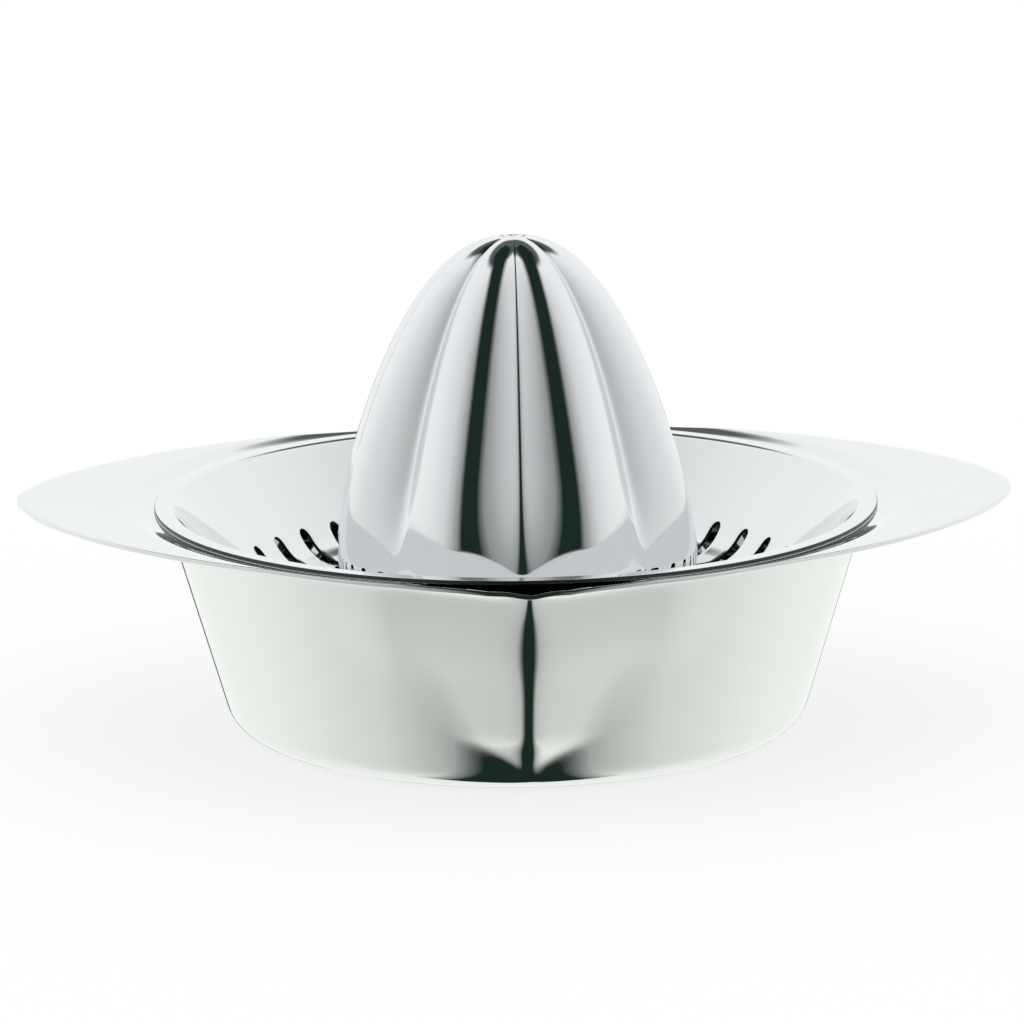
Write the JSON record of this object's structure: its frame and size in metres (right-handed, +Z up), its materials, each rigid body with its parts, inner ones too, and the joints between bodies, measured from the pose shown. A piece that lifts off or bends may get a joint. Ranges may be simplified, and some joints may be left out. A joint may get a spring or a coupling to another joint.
{
  "type": "citrus press juicer",
  "caption": "Hand citrus press in polished stainless sheet: bowl with eye-shaped brim and spout, slotted strainer dish and fluted hollow reamer.",
  "frame": {"origin": "middle of the bowl's flat base, on the surface it stands on", "axes": "+Z up, X along the two wings of the brim, spout towards -Y"},
  "size_m": [0.2, 0.1516, 0.0981],
  "materials": {
    "bowl_steel": "mirror-polished stainless steel",
    "dish_steel": "mirror-polished stainless steel",
    "reamer_steel": "mirror-polished stainless steel"
  },
  "bodies": {
    "bowl": {"juice_bowl": "bowl_steel"},
    "strainer": {"strainer_dish": "dish_steel", "reamer_cone": "reamer_steel"}
  },
  "joints": [
    {"name": "strainer_lift", "type": "slide", "parent": "bowl", "child": "strainer", "axis": [0, 0, 1], "range_m": [0, 0.08]}
  ]
}
